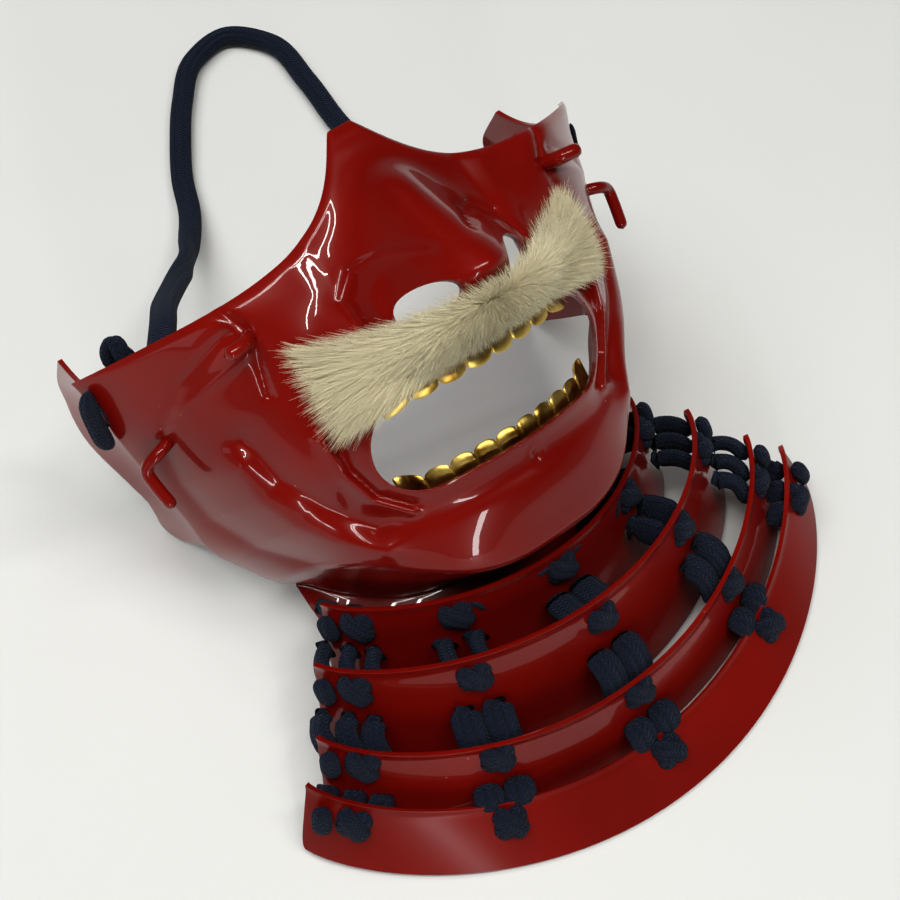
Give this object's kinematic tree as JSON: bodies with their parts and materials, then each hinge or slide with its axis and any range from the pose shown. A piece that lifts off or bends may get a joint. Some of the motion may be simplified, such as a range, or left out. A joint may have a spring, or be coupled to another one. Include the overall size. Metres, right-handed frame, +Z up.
{
  "type": "samurai face guard",
  "caption": "Lacquered half mask for nose, cheeks and chin with open mouth, teeth, fur moustache, cheek strap and a laced throat guard, lying face up.",
  "frame": {"origin": "middle of the box of everything but the strap, on the surface it lies on", "axes": "+Z up; +X to the wearer's left as seen from the front, that is the viewer's right; +Y from the throat guard towards the brow edge"},
  "size_m": [0.197, 0.341, 0.1416],
  "materials": {
    "red_lacquer": "high gloss red lacquer over steel",
    "red_satin_lacquer": "satin red lacquer over steel",
    "cream_fur": "straight combed hair",
    "gold_leaf": "gold over lacquer, semi-gloss",
    "navy_cord": "matt braided cord"
  },
  "bodies": {
    "root": {"face_shell": "red_lacquer", "cheek_wing_l": "red_lacquer", "cheek_wing_r": "red_lacquer", "cheek_peg_l": "red_lacquer", "cheek_peg_r": "red_lacquer", "cheek_hook_l": "red_lacquer", "cheek_hook_r": "red_lacquer", "neck_plate": "red_lacquer", "lame_1": "red_lacquer", "lame_2": "red_lacquer", "lame_3": "red_lacquer", "lame_4": "red_satin_lacquer", "moustache": "cream_fur", "upper_teeth": "gold_leaf", "lower_teeth": "gold_leaf", "lacing_1_1": "navy_cord", "lacing_1_2": "navy_cord", "lacing_1_3": "navy_cord", "lacing_1_4": "navy_cord", "lacing_1_5": "navy_cord", "lacing_2_1": "navy_cord", "lacing_2_2": "navy_cord", "lacing_2_3": "navy_cord", "lacing_2_4": "navy_cord", "lacing_2_5": "navy_cord", "lacing_3_1": "navy_cord", "lacing_3_2": "navy_cord", "lacing_3_3": "navy_cord", "lacing_3_4": "navy_cord", "lacing_3_5": "navy_cord", "lacing_4_1": "navy_cord", "lacing_4_2": "navy_cord", "lacing_4_3": "navy_cord", "lacing_4_4": "navy_cord", "lacing_4_5": "navy_cord", "strap": "navy_cord", "strap_end_l": "navy_cord", "strap_end_r": "navy_cord"}
  },
  "joints": []
}
